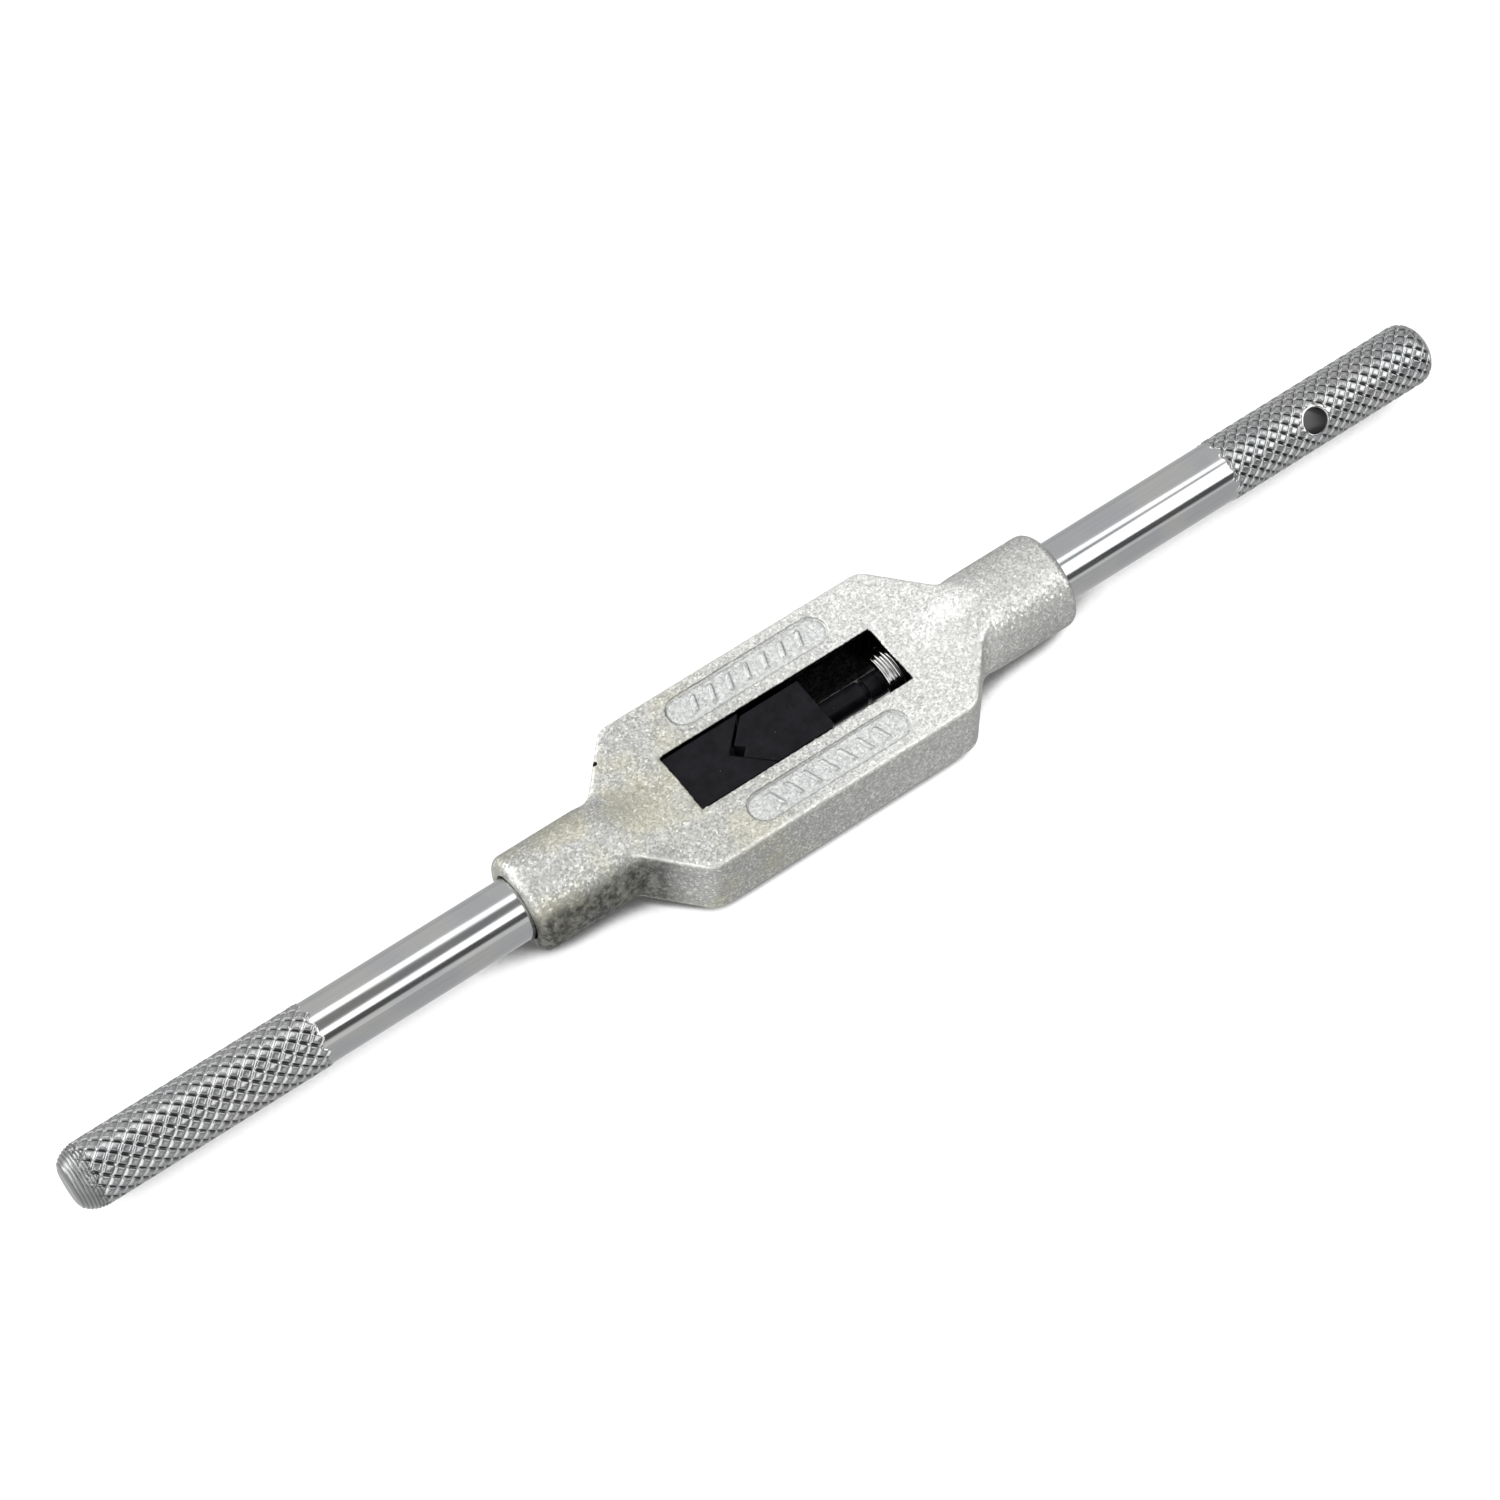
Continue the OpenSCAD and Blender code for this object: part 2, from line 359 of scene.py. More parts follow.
class Shade(Nodes):
    """A Principled material and short calls that add nodes to it."""

    def __init__(self, name, **sockets):
        self.material = bpy.data.materials.new(name)
        self.material.use_nodes = True
        super().__init__(self.material.node_tree)
        self.shader = self.tree.nodes["Principled BSDF"]
        for socket, value in sockets.items():
            self.shader.inputs[socket.replace("_", " ")].default_value = value
        self.position = self.node("ShaderNodeTexCoord").outputs["Object"]

    def stretched(self, x, y, z):
        made = self.node("ShaderNodeMapping")
        self.link(self.position, made.inputs["Vector"])
        made.inputs["Scale"].default_value = (x, y, z)
        return made.outputs[0]

    def noise(self, wavelength, detail=2.0, roughness=0.5, vector=None):
        """Noise from 0 to 1; wavelength in millimetres."""
        made = self.node("ShaderNodeTexNoise")
        self.link(vector or self.position, made.inputs["Vector"])
        made.inputs["Scale"].default_value = 1 / (wavelength * MM)
        made.inputs["Detail"].default_value = detail
        made.inputs["Roughness"].default_value = roughness
        return made.outputs["Fac"]

    def cells(self, wavelength, output="Color"):
        made = self.node("ShaderNodeTexVoronoi")
        self.link(self.position, made.inputs["Vector"])
        made.inputs["Scale"].default_value = 1 / (wavelength * MM)
        return made.outputs[output]

    def mix(self, amount, a, b):
        made = self.node("ShaderNodeMix", data_type="RGBA", blend_type="MIX")
        self.link(amount, made.inputs[0])
        self.link(a, made.inputs[6])
        self.link(b, made.inputs[7])
        return made.outputs[2]

    def place(self):
        """Place in millimetres from the body's centre."""
        scaled = self.node("ShaderNodeMapping", vector_type="POINT")
        self.link(self.position, scaled.inputs["Vector"])
        scaled.inputs["Scale"].default_value = (1 / MM,) * 3
        scaled.inputs["Location"].default_value = tuple(-CENTRE)
        return scaled.outputs[0]

    def axes(self):
        """Place in millimetres from the body's centre, as x, y and z."""
        made = self.node("ShaderNodeSeparateXYZ")
        self.link(self.place(), made.inputs[0])
        return made.outputs

    def vector(self, operation, a, b):
        made = self.node("ShaderNodeVectorMath", operation=operation)
        self.link(a, made.inputs[0])
        self.link(b, made.inputs[1])
        return made.outputs["Value"] if operation == "LENGTH" else made.outputs["Vector"]

    def facets(self, cells, spread):
        """The surface normal, tilted by a different amount in each small cell."""
        normal = self.node("ShaderNodeNewGeometry").outputs["Normal"]
        tilt = self.vector("SUBTRACT", cells, (0.5, 0.5, 0.5))
        tilt = self.vector("MULTIPLY", tilt, (spread, spread, spread))
        return self.vector("NORMALIZE", self.vector("ADD", normal, tilt), (0, 0, 0))

    def bump(self, height, strength, distance, normal=None):
        made = self.node("ShaderNodeBump")
        made.inputs["Strength"].default_value = strength
        made.inputs["Distance"].default_value = distance * MM
        self.link(height, made.inputs["Height"])
        if normal:
            self.link(normal, made.inputs["Normal"])
        return made.outputs[0]

    def product(self, first, *others):
        """All the values multiplied together."""
        for other in others:
            first = self.math("MULTIPLY", first, other)
        return first

    def away(self, from_point):
        """Distance in millimetres from a point, given from the body's centre."""
        apart = self.vector("SUBTRACT", self.place(), from_point)
        return self.vector("LENGTH", apart, (0, 0, 0))

    def mark(self, name):
        """The numbers that make_piece stored under this name."""
        return self.node("ShaderNodeAttribute", attribute_name=name).outputs["Fac"]

    def put(self, socket, value):
        self.link(value, self.shader.inputs[socket])


ZINC_GRAINS = ((0.38, 0.385, 0.37, 1), (0.62, 0.625, 0.605, 1))
LIT_FACE_GRAINS = ((0.56, 0.565, 0.55, 1), (0.88, 0.885, 0.86, 1))
SPARKLE = (0.95, 0.95, 0.9, 1)
WARM_STAIN = (0.60, 0.56, 0.35, 1)
PANEL_GREY = (0.7, 0.72, 0.725, 1)
GRIME = (0.07, 0.072, 0.065, 1)
WINDOW_BLACKS = ((0.002, 0.002, 0.002, 1), (0.015, 0.015, 0.014, 1))
RIM_HIGHLIGHT = (0.93, 0.93, 0.89, 1)
PANEL_SHADE_AND_DIRT = (0.13, 0.13, 0.12, 1)
FLAW_BLACK = (0.01, 0.01, 0.01, 1)


def painted_light_share(s, x, z):
    """Painted light: how far the casting is painted in lighter grains, more so to the right, and
    most of all on its flat faces.
    """
    on_face = s.ramp(s.math("ABSOLUTE", z), 3.6, 4.2, 0.45, 1.0)
    on_face = s.product(on_face, s.ramp(x, 28.0, 22.0, 0.3, 1.0))
    return s.product(s.ramp(x, -14.0, 18.0), on_face)


def stain_share(s, x):
    """A faint stain in clouds at the left, weaker in the panels."""
    stain = s.product(s.ramp(s.noise(7.0, 3.0), 0.42, 0.62), s.ramp(x, -2.0, -13.0))
    return s.product(stain, s.ramp(s.mark("panel"), 1.0, 0.4), 0.34)


def grime_share(s, x, y, z):
    """Blotches of grime low on the near side of the left boss."""
    under = s.math("MULTIPLY_ADD", z, -0.75, s.math("MULTIPLY", y, -0.66))
    place = s.product(s.ramp(x, -18.0, -22.0), s.ramp(under, -0.8, 1.8))
    blotches = s.ramp(s.noise(0.9, 5.0, 0.7), 0.38, 0.62)
    return s.product(place, s.math("MULTIPLY_ADD", blotches, 0.38, 0.6))


def window_wall_share(s, x, y, z):
    """1 on the walls of the window, with an uneven edge just below its rim."""
    from_middle = s.math("ABSOLUTE", s.math("SUBTRACT", x, WINDOW_X))
    in_length = s.ramp(from_middle, WINDOW_HALF[0] + 0.25, WINDOW_HALF[0] + 0.08)
    in_width = s.ramp(s.math("ABSOLUTE", y), WINDOW_HALF[1] + 0.25, WINDOW_HALF[1] + 0.08)
    creep = s.math("MULTIPLY_ADD", s.noise(0.45, 2.0), -0.6, s.math("ADD", z, 0.22))
    below_rim = s.ramp(creep, PLATE_TOP - 0.02, PLATE_TOP - 0.2)
    return s.product(below_rim, s.product(in_length, in_width))


def cast_zinc():
    """Light cast metal of small bright facets, black in the window, with a faint warm
    stain at the left and grime under the left boss."""
    s = Shade("cast_zinc", Specular_Tint=(0.5, 0.5, 0.5, 1))
    x, y, z = s.axes()
    fine = s.noise(0.22, 3.0, 0.6)
    cells = s.cells(0.25)
    split = s.node("ShaderNodeSeparateColor")
    s.link(cells, split.inputs[0])
    colour = s.mix(s.ramp(fine, 0.3, 0.7), *ZINC_GRAINS)
    lit_colour = s.mix(s.ramp(fine, 0.3, 0.7), *LIT_FACE_GRAINS)
    # Painted light: lighter grains on the flat faces and to the right
    colour = s.mix(painted_light_share(s, x, z), colour, lit_colour)
    colour = s.mix(s.ramp(split.outputs[2], 0.75, 0.95, 0.0, 0.5), colour, SPARKLE)
    colour = s.mix(stain_share(s, x), colour, WARM_STAIN)
    colour = s.mix(s.product(s.mark("panel"), 0.45), colour, PANEL_GREY)
    colour = s.mix(grime_share(s, x, y, z), colour, GRIME)
    # Painted highlight along the plate's rim
    colour = s.mix(s.product(s.mark("edge"), 0.55), colour, RIM_HIGHLIGHT)
    # Painted shade and dirt in the panel outlines and at the rib feet
    colour = s.mix(s.product(s.mark("groove"), 0.42), colour, PANEL_SHADE_AND_DIRT)
    colour = s.mix(s.ramp(s.away(FLAW), 0.36, 0.26), colour, FLAW_BLACK)
    walls = window_wall_share(s, x, y, z)
    # The window's walls are made near black, in blotches
    wall_colour = s.mix(s.ramp(s.noise(0.8, 4.0, 0.6), 0.45, 0.75), *WINDOW_BLACKS)
    s.put("Base Color", s.mix(walls, colour, wall_colour))
    s.put("Metallic", s.math("MULTIPLY_ADD", walls, 0.15, 0.85))
    s.put("Roughness", s.ramp(s.noise(0.4, 2.0), 0.25, 0.75, 0.36, 0.50))
    s.put("Normal", s.bump(fine, 0.4, 0.05, s.facets(cells, 0.31)))
    return s.material


PLATE_TINTS = ((0.50, 0.515, 0.53, 1), (0.56, 0.56, 0.55, 1))
DRAWN_LINE = (0.38, 0.38, 0.39, 1)
KNURL_GREY = (0.24, 0.25, 0.25, 1)
GROOVE_SHADE_AND_DIRT = (0.02, 0.02, 0.02, 1)
KNURL_SHINE = (0.95, 0.95, 0.93, 1)
HOLE_SHADE = (0.12, 0.12, 0.12, 1)


def plated_steel():
    """Bright zinc plate with faint drawing lines along the bar and tiny dents."""
    s = Shade("plated_steel", Metallic=1.0)
    drawn = s.noise(0.22, 3.0, vector=s.stretched(0.03, 1, 1))
    dents = s.noise(0.3, 2.0)
    tint = s.noise(6.0, 2.0)
    colour = s.mix(s.ramp(tint, 0.35, 0.65), *PLATE_TINTS)
    colour = s.mix(s.ramp(drawn, 0.35, 0.75, 0.0, 0.18), colour, DRAWN_LINE)
    from_hole = s.vector("SUBTRACT", s.place(), (HOLE_X, 0, 0))
    off_axis = s.vector("CROSS_PRODUCT", from_hole, HOLE_AXIS)
    off_axis = s.vector("LENGTH", off_axis, (0, 0, 0))
    inside = s.ramp(off_axis, HOLE_R + 0.12, HOLE_R + 0.02)
    knurled = s.mark("knurl")
    colour = s.mix(s.product(knurled, 0.6), colour, KNURL_GREY)
    # Painted shade and dirt in the knurl grooves, and dark turning lines on the tip
    colour = s.mix(s.product(s.mark("groove"), 0.95), colour, GROOVE_SHADE_AND_DIRT)
    # Painted highlights on the knurl's lines and diamond tops
    colour = s.mix(s.product(s.mark("shine"), 0.65), colour, KNURL_SHINE)
    # Painted shade inside the tommy bar hole
    s.put("Base Color", s.mix(inside, colour, HOLE_SHADE))
    rough = s.math("MULTIPLY_ADD", knurled, 0.12, s.ramp(drawn, 0.2, 0.8, 0.07, 0.16))
    s.put("Roughness", s.math("MULTIPLY_ADD", inside, 0.2, rough))
    lines = s.bump(drawn, 0.10, 0.006)
    s.put("Normal", s.bump(dents, 0.12, 0.008, lines))
    return s.material


OXIDE = ((0.006, 0.006, 0.008, 1), (0.012, 0.012, 0.015, 1))
MILLED_LINE = (0.035, 0.035, 0.04, 1)
BRIGHT_SPECK = (0.30, 0.29, 0.27, 1)
GROUND_STEEL = ((0.30, 0.30, 0.31, 1), (0.46, 0.46, 0.47, 1))


def black_steel():
    """Black oxide on milled steel, with light scuffs and a few bright specks."""
    s = Shade("black_steel", Metallic=0.15)
    s.shader.inputs["Specular IOR Level"].default_value = 0.1
    milled = s.noise(0.14, 2.0, vector=s.stretched(1, 0.06, 1))
    cloud = s.noise(1.6, 4.0, 0.6)
    specks = s.cells(0.55, "Distance")
    chosen = s.noise(2.1, 1.0)
    colour = s.mix(s.ramp(cloud, 0.3, 0.7), *OXIDE)
    colour = s.mix(s.ramp(milled, 0.6, 0.8, 0.0, 0.35), colour, MILLED_LINE)
    speck = s.product(s.ramp(specks, 0.10, 0.05), s.ramp(chosen, 0.62, 0.66))
    s.put("Base Color", s.mix(speck, colour, BRIGHT_SPECK))
    s.put("Roughness", s.ramp(cloud, 0.3, 0.7, 0.36, 0.52))
    s.put("Normal", s.bump(milled, 0.15, 0.01))
    return s.material


def pin_steel():
    """Plain ground dowel steel."""
    s = Shade("pin_steel", Metallic=1.0)
    ground = s.noise(0.1, 2.0, vector=s.stretched(1, 1, 0.1))
    s.put("Base Color", s.mix(ground, *GROUND_STEEL))
    s.put("Roughness", s.ramp(ground, 0.2, 0.8, 0.22, 0.38))
    s.put("Normal", s.bump(ground, 0.1, 0.01))
    return s.material


ZINC = cast_zinc()
PLATE = plated_steel()
BLACK = black_steel()
DOWEL = pin_steel()


# ---------------------------------------------------------------- body casting

GRAIN_HEIGHT = 0.026
RIM_WEAR = 0.08
# The grain's lattice is turned, so that its rows don't line up with the plate's faces
GRAIN_TURN = np.array(Matrix.Rotation(0.7, 3, Vector((1, 2, 3)).normalized()))


def boss_field(x_out, rho):
    """Both bosses, which swell out of the plate and end in a rounded edge."""
    radius = NECK_R + (BOSS_R - NECK_R) * smooth_step(*SWELL, x_out)
    across = rho - radius + BOSS_EDGE
    along = x_out - BODY_END + BOSS_EDGE
    outside = np.hypot(np.maximum(across, 0), np.maximum(along, 0))
    return outside + np.minimum(np.maximum(across, along), 0) - BOSS_EDGE


def panel_border(x, y_out):
    """Distance from a panel's round-ended outline, less than zero inside."""
    straight = PANEL_HALF[0] - PANEL_HALF[1]
    return np.hypot(np.maximum(np.abs(x) - straight, 0), y_out - PANEL_Y) - PANEL_HALF[1]


def panel_field(x, y_out, z):
    """The sunk panels, less than zero in the hollow, with plain ribs on the upper ones."""
    border = panel_border(x, y_out)
    hollow = smooth_max(border, PANEL_FLOOR - np.abs(z), 0.08)
    outline = smooth_max(np.abs(border + 0.14) - 0.11, PANEL_FLOOR - 0.08 - np.abs(z), 0.06)
    hollow = np.minimum(hollow, outline)
    below_top = np.maximum(z - PANEL_FLOOR - RIB_HEIGHT, -z)
    rib = smooth_max(rib_outline(x, y_out), below_top, 0.08)
    return smooth_max(hollow, -rib, 0.05)


def rib_outline(x, y_out):
    """Distance from the nearest leaning rib of a panel, less than zero inside."""
    nearest = np.clip(np.round(x / RIB_PITCH), -(RIBS // 2), RIBS // 2) * RIB_PITCH
    across = np.abs(x - nearest - RIB_LEAN * (y_out - PANEL_Y)) - RIB_HALF[0]
    return smooth_max(across, np.abs(y_out - PANEL_Y) - RIB_HALF[1], 0.2)


def body_marks(p):
    """Where the plate's rim gets a painted highlight, and where the panel outlines and rib feet
    get painted shade and dirt.
    """
    x, y, z = p.T
    x_out, y_out, z_out = np.abs(p).T
    border = panel_border(x, y_out)
    # Painted shade and dirt along each panel's outline and at the feet of its ribs
    line = np.exp(-((border + 0.1) / 0.13) ** 2)
    foot = np.exp(-((rib_outline(x, y_out) - 0.06) / 0.13) ** 2) * (border < 0) * (z > 0)
    groove = np.clip(line + 0.7 * foot, 0, 1) * (z_out > PANEL_WALL)
    # A painted highlight along the rim of the plate, off the bosses
    from_rim = np.hypot(plate_outline(x_out, y_out) + 0.12, z_out - PLATE_TOP + 0.12)
    edge = np.exp(-(from_rim / 0.3) ** 2) * (boss_field(x_out, np.hypot(y, z)) > 0.4)
    panel = smooth_step(0.0, -0.2, border) * (z_out > PANEL_WALL)
    return {"edge": edge, "groove": groove, "panel": panel}


def body_field(p):
    """The clean casting: plate and bosses, less the window, the panels and the bores."""
    x, y, z = p.T
    x_out, y_out, z_out = np.abs(p).T
    rho = np.hypot(y, z)
    plate = smooth_max(plate_outline(x_out, y_out), z_out - PLATE_TOP, PLATE_ROUND)
    solid = smooth_min(plate, boss_field(x_out, rho), 1.0)
    window = smooth_max(np.abs(x - WINDOW_X) - WINDOW_HALF[0], y_out - WINDOW_HALF[1],
                        WINDOW_ROUND[0])
    solid = smooth_max(solid, -window, WINDOW_ROUND[1])
    solid = smooth_max(solid, -panel_field(x, y_out, z), 0.1)
    mouth = np.maximum(rho - MOUTH_R, BODY_END - RIGHT_MOUTH_L - x)
    left_mouth = np.maximum(rho - MOUTH_R, BODY_END - LEFT_MOUTH_L + x)
    tapped = np.maximum(rho - THREAD_R - BORE_GAP, TAPPED_START - x)
    seat = np.maximum(rho - THREAD_R - BORE_GAP, SEAT_END + x)
    spigot = np.maximum(x - SPIGOT_SPAN[1], SPIGOT_SPAN[0] - x)
    spigot = np.maximum(rho - SPIGOT_R - BORE_GAP, spigot)
    for hole in (mouth, left_mouth, tapped, seat, spigot):
        solid = smooth_max(solid, -hole, 0.1)
    return solid


def plate_outline(x_out, y_out):
    """Distance inside the six-sided outline of the plate, less than zero inside."""
    slant = (x_out - FLAT_END) * math.sin(SLANT) + (y_out - PLATE_SIDE) * math.cos(SLANT)
    return smooth_max(y_out - PLATE_SIDE, slant, 0.9)


def rough_body_field(p):
    """The casting with its grain, which only cuts into the clean shape."""
    x, y, z = p.T
    across = p @ GRAIN_TURN
    pits = 0.75 * grain(across, 0.36) + 0.25 * grain(across + 9.1, 0.8)
    on_top = smooth_step(2.5, 4.0, np.abs(z))
    ragged = np.exp(-((np.abs(np.abs(y) - WINDOW_HALF[1]) / 0.3) ** 2)) * on_top
    ragged = ragged * (np.abs(x) < WINDOW_HALF[0] + 0.5)
    height = GRAIN_HEIGHT * (0.55 + 0.45 * on_top) + RIM_WEAR * ragged
    return body_field(p) + height * (1 + pits)


def make_body():
    step = 0.15
    verts, faces = surface_net(body_field, body_low - 0.4, body_high + 0.4, step)
    verts = verts - onto_surface(rough_body_field, verts, 0.3 * step)
    make_piece("body_casting", verts, faces, ZINC, "body", "frame",
               body_marks(verts))


# ---------------------------------------------------------------- handles

def knurl_lines(x, angle, pitch):
    """Distance to each of the two families of knurl grooves, from 0 to 0.5 of their spacing."""
    turn = KNURL_STARTS * angle / TAU
    phases = (turn - x / pitch, turn + x / pitch)
    return [np.abs(phase - np.round(phase)) for phase in phases]


def knurl(x, angle, pitch):
    """1 in the crossing grooves of a diamond knurl and 0 on its flat diamonds."""
    return np.clip(1 - np.minimum(*knurl_lines(x, angle, pitch)) / KNURL_GROOVE, 0, 1)


def knurl_marks(x, angle, pitch, amount):
    """Painted shade and dirt in one family of grooves, and painted highlights as bright lines in
    the other and on each diamond.
    """
    first, second = knurl_lines(x, angle, pitch)
    shade_and_dirt = np.clip(1.2 - first / KNURL_GROOVE, 0, 1) * smooth_step(0.06, 0.26, second)
    line = np.clip(1 - second / (0.55 * KNURL_GROOVE), 0, 1)
    top = 0.45 * smooth_step(0.32, 0.46, np.minimum(first, second))
    return {"knurl": amount, "groove": amount * shade_and_dirt, "shine": amount * np.maximum(line, top)}


def ragged(angle):
    """How far a knurl starts early or late, round the bar."""
    return 0.25 * np.sin(KNURL_STARTS * angle) + 0.12 * np.sin(9 * angle + 1)


def turned_marks(rows, segments, marks):
    """The marks for each corner of a turned piece, and none at its two poles."""
    angles = np.arange(segments) * TAU / segments
    found = marks(np.repeat(rows, segments), np.tile(angles, len(rows)))
    return {name: np.append(values, [0, 0]) for name, values in found.items()}


def dense_rows(points, spans):
    """Rows for a turned piece: the profile's own, and even ones in spans [start, end, step]."""
    rows, radii = profile(points)
    extra = [np.arange(a, b, s) for a, b, s in spans]
    every = np.unique(np.concatenate([rows] + extra))
    return every, np.interp(every, rows, radii)


def make_fixed_handle():
    """The left handle: turned tip, knurl, rod, thread seat and spigot."""
    start = left_low[0]
    knurl_end = start + KNURL_L
    shoulder = LEFT_MOUTH_L - BODY_END
    fine = LEFT_PITCH / KNURL_CELLS
    arc = np.radians([8, 26, 44, 62, 80])
    shape = [[start, AXIS_R], [start, TIP_FACE_R - 0.7]]
    shape += [[start + TIP_CONE * (1 - math.cos(t)), TIP_FACE_R - 0.5
               + (KNURL_R - TIP_FACE_R + 0.5) * math.sin(t)] for t in arc]
    shape += [[start + TIP_CONE, KNURL_R], [knurl_end, KNURL_R],
             [knurl_end + 0.3, ROD_R], [shoulder, ROD_R], [shoulder, THREAD_R],
             [-SEAT_END, THREAD_R], [-SEAT_END, SPIGOT_R], [left_high[0], SPIGOT_R],
             [left_high[0], AXIS_R]]
    rows, base = dense_rows(shape, [(start, knurl_end + 0.6, fine), (knurl_end, -17, 1.2)])

    def knurl_edge(angle):
        return knurl_end - 0.3 + ragged(angle)

    def radius(x, angle):
        edge = knurl_edge(angle)
        collar = ROD_R + (KNURL_R - ROD_R) * smooth_step(edge + 0.12, edge - 0.05, x)
        plain = np.minimum(np.interp(x, rows, base), collar)
        knurled = (x < edge) & (x > start + 0.2)
        grooved = KNURL_R - KNURL_DEPTH * knurl(x, angle, LEFT_PITCH)
        turning = 0.05 * np.sin(TAU * x / TURNING_PITCH) * smooth_step(start + 3.2, start + 2.8, x)
        return np.where(knurled, np.minimum(plain + turning, grooved), plain)

    def marks(x, angle):
        found = knurl_marks(x, angle, LEFT_PITCH, 1.0 * (x < knurl_edge(angle)))
        on_tip = x < start + 2.7
        turning = 0.1 + 0.5 * (0.5 + 0.5 * np.sin(TAU * x / TURNING_PITCH))
        found["groove"] = np.where(on_tip, turning, found["groove"])
        found["shine"] = np.where(on_tip, 0, found["shine"])
        return found

    segments = KNURL_STARTS * KNURL_CELLS
    verts, faces = turned(rows, radius, segments)
    make_piece("fixed_handle_bar", verts, faces, PLATE, "fixed_handle", "frame",
               turned_marks(rows, segments, marks))


def hole_distance(x, y, z):
    """Distance of a point from the axis of the tommy bar hole."""
    p = np.column_stack([x - HOLE_X, y, z])
    return np.linalg.norm(np.cross(p, HOLE_AXIS), axis=1)


def cut_hole(piece):
    """Cuts the tommy bar hole with a fine round cutter."""
    rows = np.array([-6.0, 6.0])
    verts, faces = turned(rows, lambda x, a: np.full(len(x), HOLE_R), 72, axis="Z")
    turn = Vector((0, 0, 1)).rotation_difference(Vector(HOLE_AXIS)).to_matrix()
    verts = verts @ np.array(turn).T + np.array([HOLE_X, 0, 0])
    mesh = bpy.data.meshes.new("cutter")
    mesh.from_pydata(((verts + CENTRE) * MM).tolist(), [], faces)
    cutter = bpy.data.objects.new("cutter", mesh)
    bpy.context.scene.collection.objects.link(cutter)
    cut = piece.modifiers.new("hole", "BOOLEAN")
    cut.object = cutter
    cut.solver = "EXACT"
    bpy.context.view_layer.update()
    graph = bpy.context.evaluated_depsgraph_get()
    result = bpy.data.meshes.new_from_object(piece.evaluated_get(graph))
    piece.modifiers.clear()
    piece.data = result
    bpy.data.objects.remove(cutter)
    bpy.data.meshes.remove(mesh)


def make_adjusting_handle():
    """The right handle: right-handed thread, rod, knurl with its cross hole, and dome."""
    nose = right_low[0]
    thread_start = nose + 0.25
    thread_end = nose + THREAD_L
    knurl_start = TIP_X - KNURL_L
    dome = 2.4
    fine = RIGHT_PITCH / KNURL_CELLS
    shape = [[nose, AXIS_R], [nose, 3.1], [thread_start, THREAD_R], [thread_end, THREAD_R],
             [thread_end, ROD_R], [knurl_start - 0.3, ROD_R], [knurl_start, KNURL_R]]
    quarter = np.linspace(0, math.pi / 2, 15)
    shape += [[TIP_X - dome + dome * math.sin(t), 1.0 + (KNURL_R - 1.0) * math.cos(t)]
              for t in quarter]
    shape += [[TIP_X, AXIS_R]]
    spans = [(nose, thread_end + 0.3, THREAD_PITCH / 10), (thread_end, knurl_start, 1.2),
             (knurl_start - 0.5, TIP_X, fine)]
    rows, base = dense_rows(shape, spans)

    def knurl_edge(angle):
        return knurl_start + 0.3 + ragged(angle)

    def knurl_fade(x, angle, away):
        """1 where the knurl is full, 0 past its ends and at the hole's rim."""
        edge = knurl_edge(angle)
        fade = smooth_step(edge - 0.05, edge + 0.1, x)
        fade = fade * smooth_step(TIP_X - 0.25, TIP_X - 1.6, x)
        return fade * smooth_step(HOLE_R + 0.15, HOLE_R + 0.65, away)

    def radius(x, angle):
        r = np.interp(x, rows, base)
        ridge = np.abs(2 * np.mod(x / THREAD_PITCH - angle / TAU, 1) - 1)
        thread = THREAD_R - THREAD_DEPTH * smooth_step(0.15, 0.85, ridge)
        edge = knurl_edge(angle)
        collar = ROD_R + (KNURL_R - ROD_R) * smooth_step(edge - 0.12, edge + 0.05, x)
        r = np.minimum(r, np.where(x < thread_end, thread, collar))
        away = hole_distance(x, r * np.cos(angle), r * np.sin(angle))
        r = r - KNURL_DEPTH * knurl_fade(x, angle, away) * knurl(x, angle, RIGHT_PITCH)
        rim = 1 - smooth_step(HOLE_R - 0.1, HOLE_R + 0.3, away)
        return r - HOLE_RIM_DEPTH * rim

    def marks(x, angle):
        away = hole_distance(x, KNURL_R * np.cos(angle), KNURL_R * np.sin(angle))
        return knurl_marks(x, angle, RIGHT_PITCH, knurl_fade(x, angle, away))

    segments = KNURL_STARTS * KNURL_CELLS
    verts, faces = turned(rows, radius, segments)
    piece = make_piece("adjusting_handle_bar", verts, faces, PLATE, "adjusting_handle",
                       "screw", turned_marks(rows, segments, marks))
    cut_hole(piece)


# ---------------------------------------------------------------- jaws, spindle and pins

FIXED_NOTCH_X = -7.75
EDGE = 0.12
NOTCH_EDGE = 0.04
NOSE_FLAT = 0.9
CORNER_CUT = 0.5
SOCKET_R = 2.02
SPINDLE_BORE = (1.55, 5.2)   # radius and length
DOWEL_X = (dowel_low[0] + dowel_high[0]) / 2
DOWEL_R = dowel_high[1]
SWIVEL_X = (swivel_low[0] + swivel_high[0]) / 2
SWIVEL_Y = (swivel_low[1] + swivel_high[1]) / 2
SWIVEL_R = (swivel_high[0] - swivel_low[0]) / 2
JAW_Y = (moving_low[1] + moving_high[1]) / 2


def fixed_jaw_field(p):
    """A block with a V notch to the right, on the fixed handle's spigot."""
    x, y, z = p.T
    ends = np.maximum(fixed_low[0] - x, np.abs(y) - fixed_high[1])
    block = smooth_max(ends, np.abs(z) - fixed_high[2], EDGE)
    notch = (x - FIXED_NOTCH_X - np.abs(y)) / math.sqrt(2)
    block = smooth_max(block, notch, NOTCH_EDGE)
    socket = np.maximum(np.hypot(y, z) - SOCKET_R, x - left_high[0])
    dowel = np.maximum(np.hypot(x - DOWEL_X, y) - DOWEL_R, z - dowel_high[2])
    return smooth_max(np.maximum(block, -socket), -dowel, 0.08)


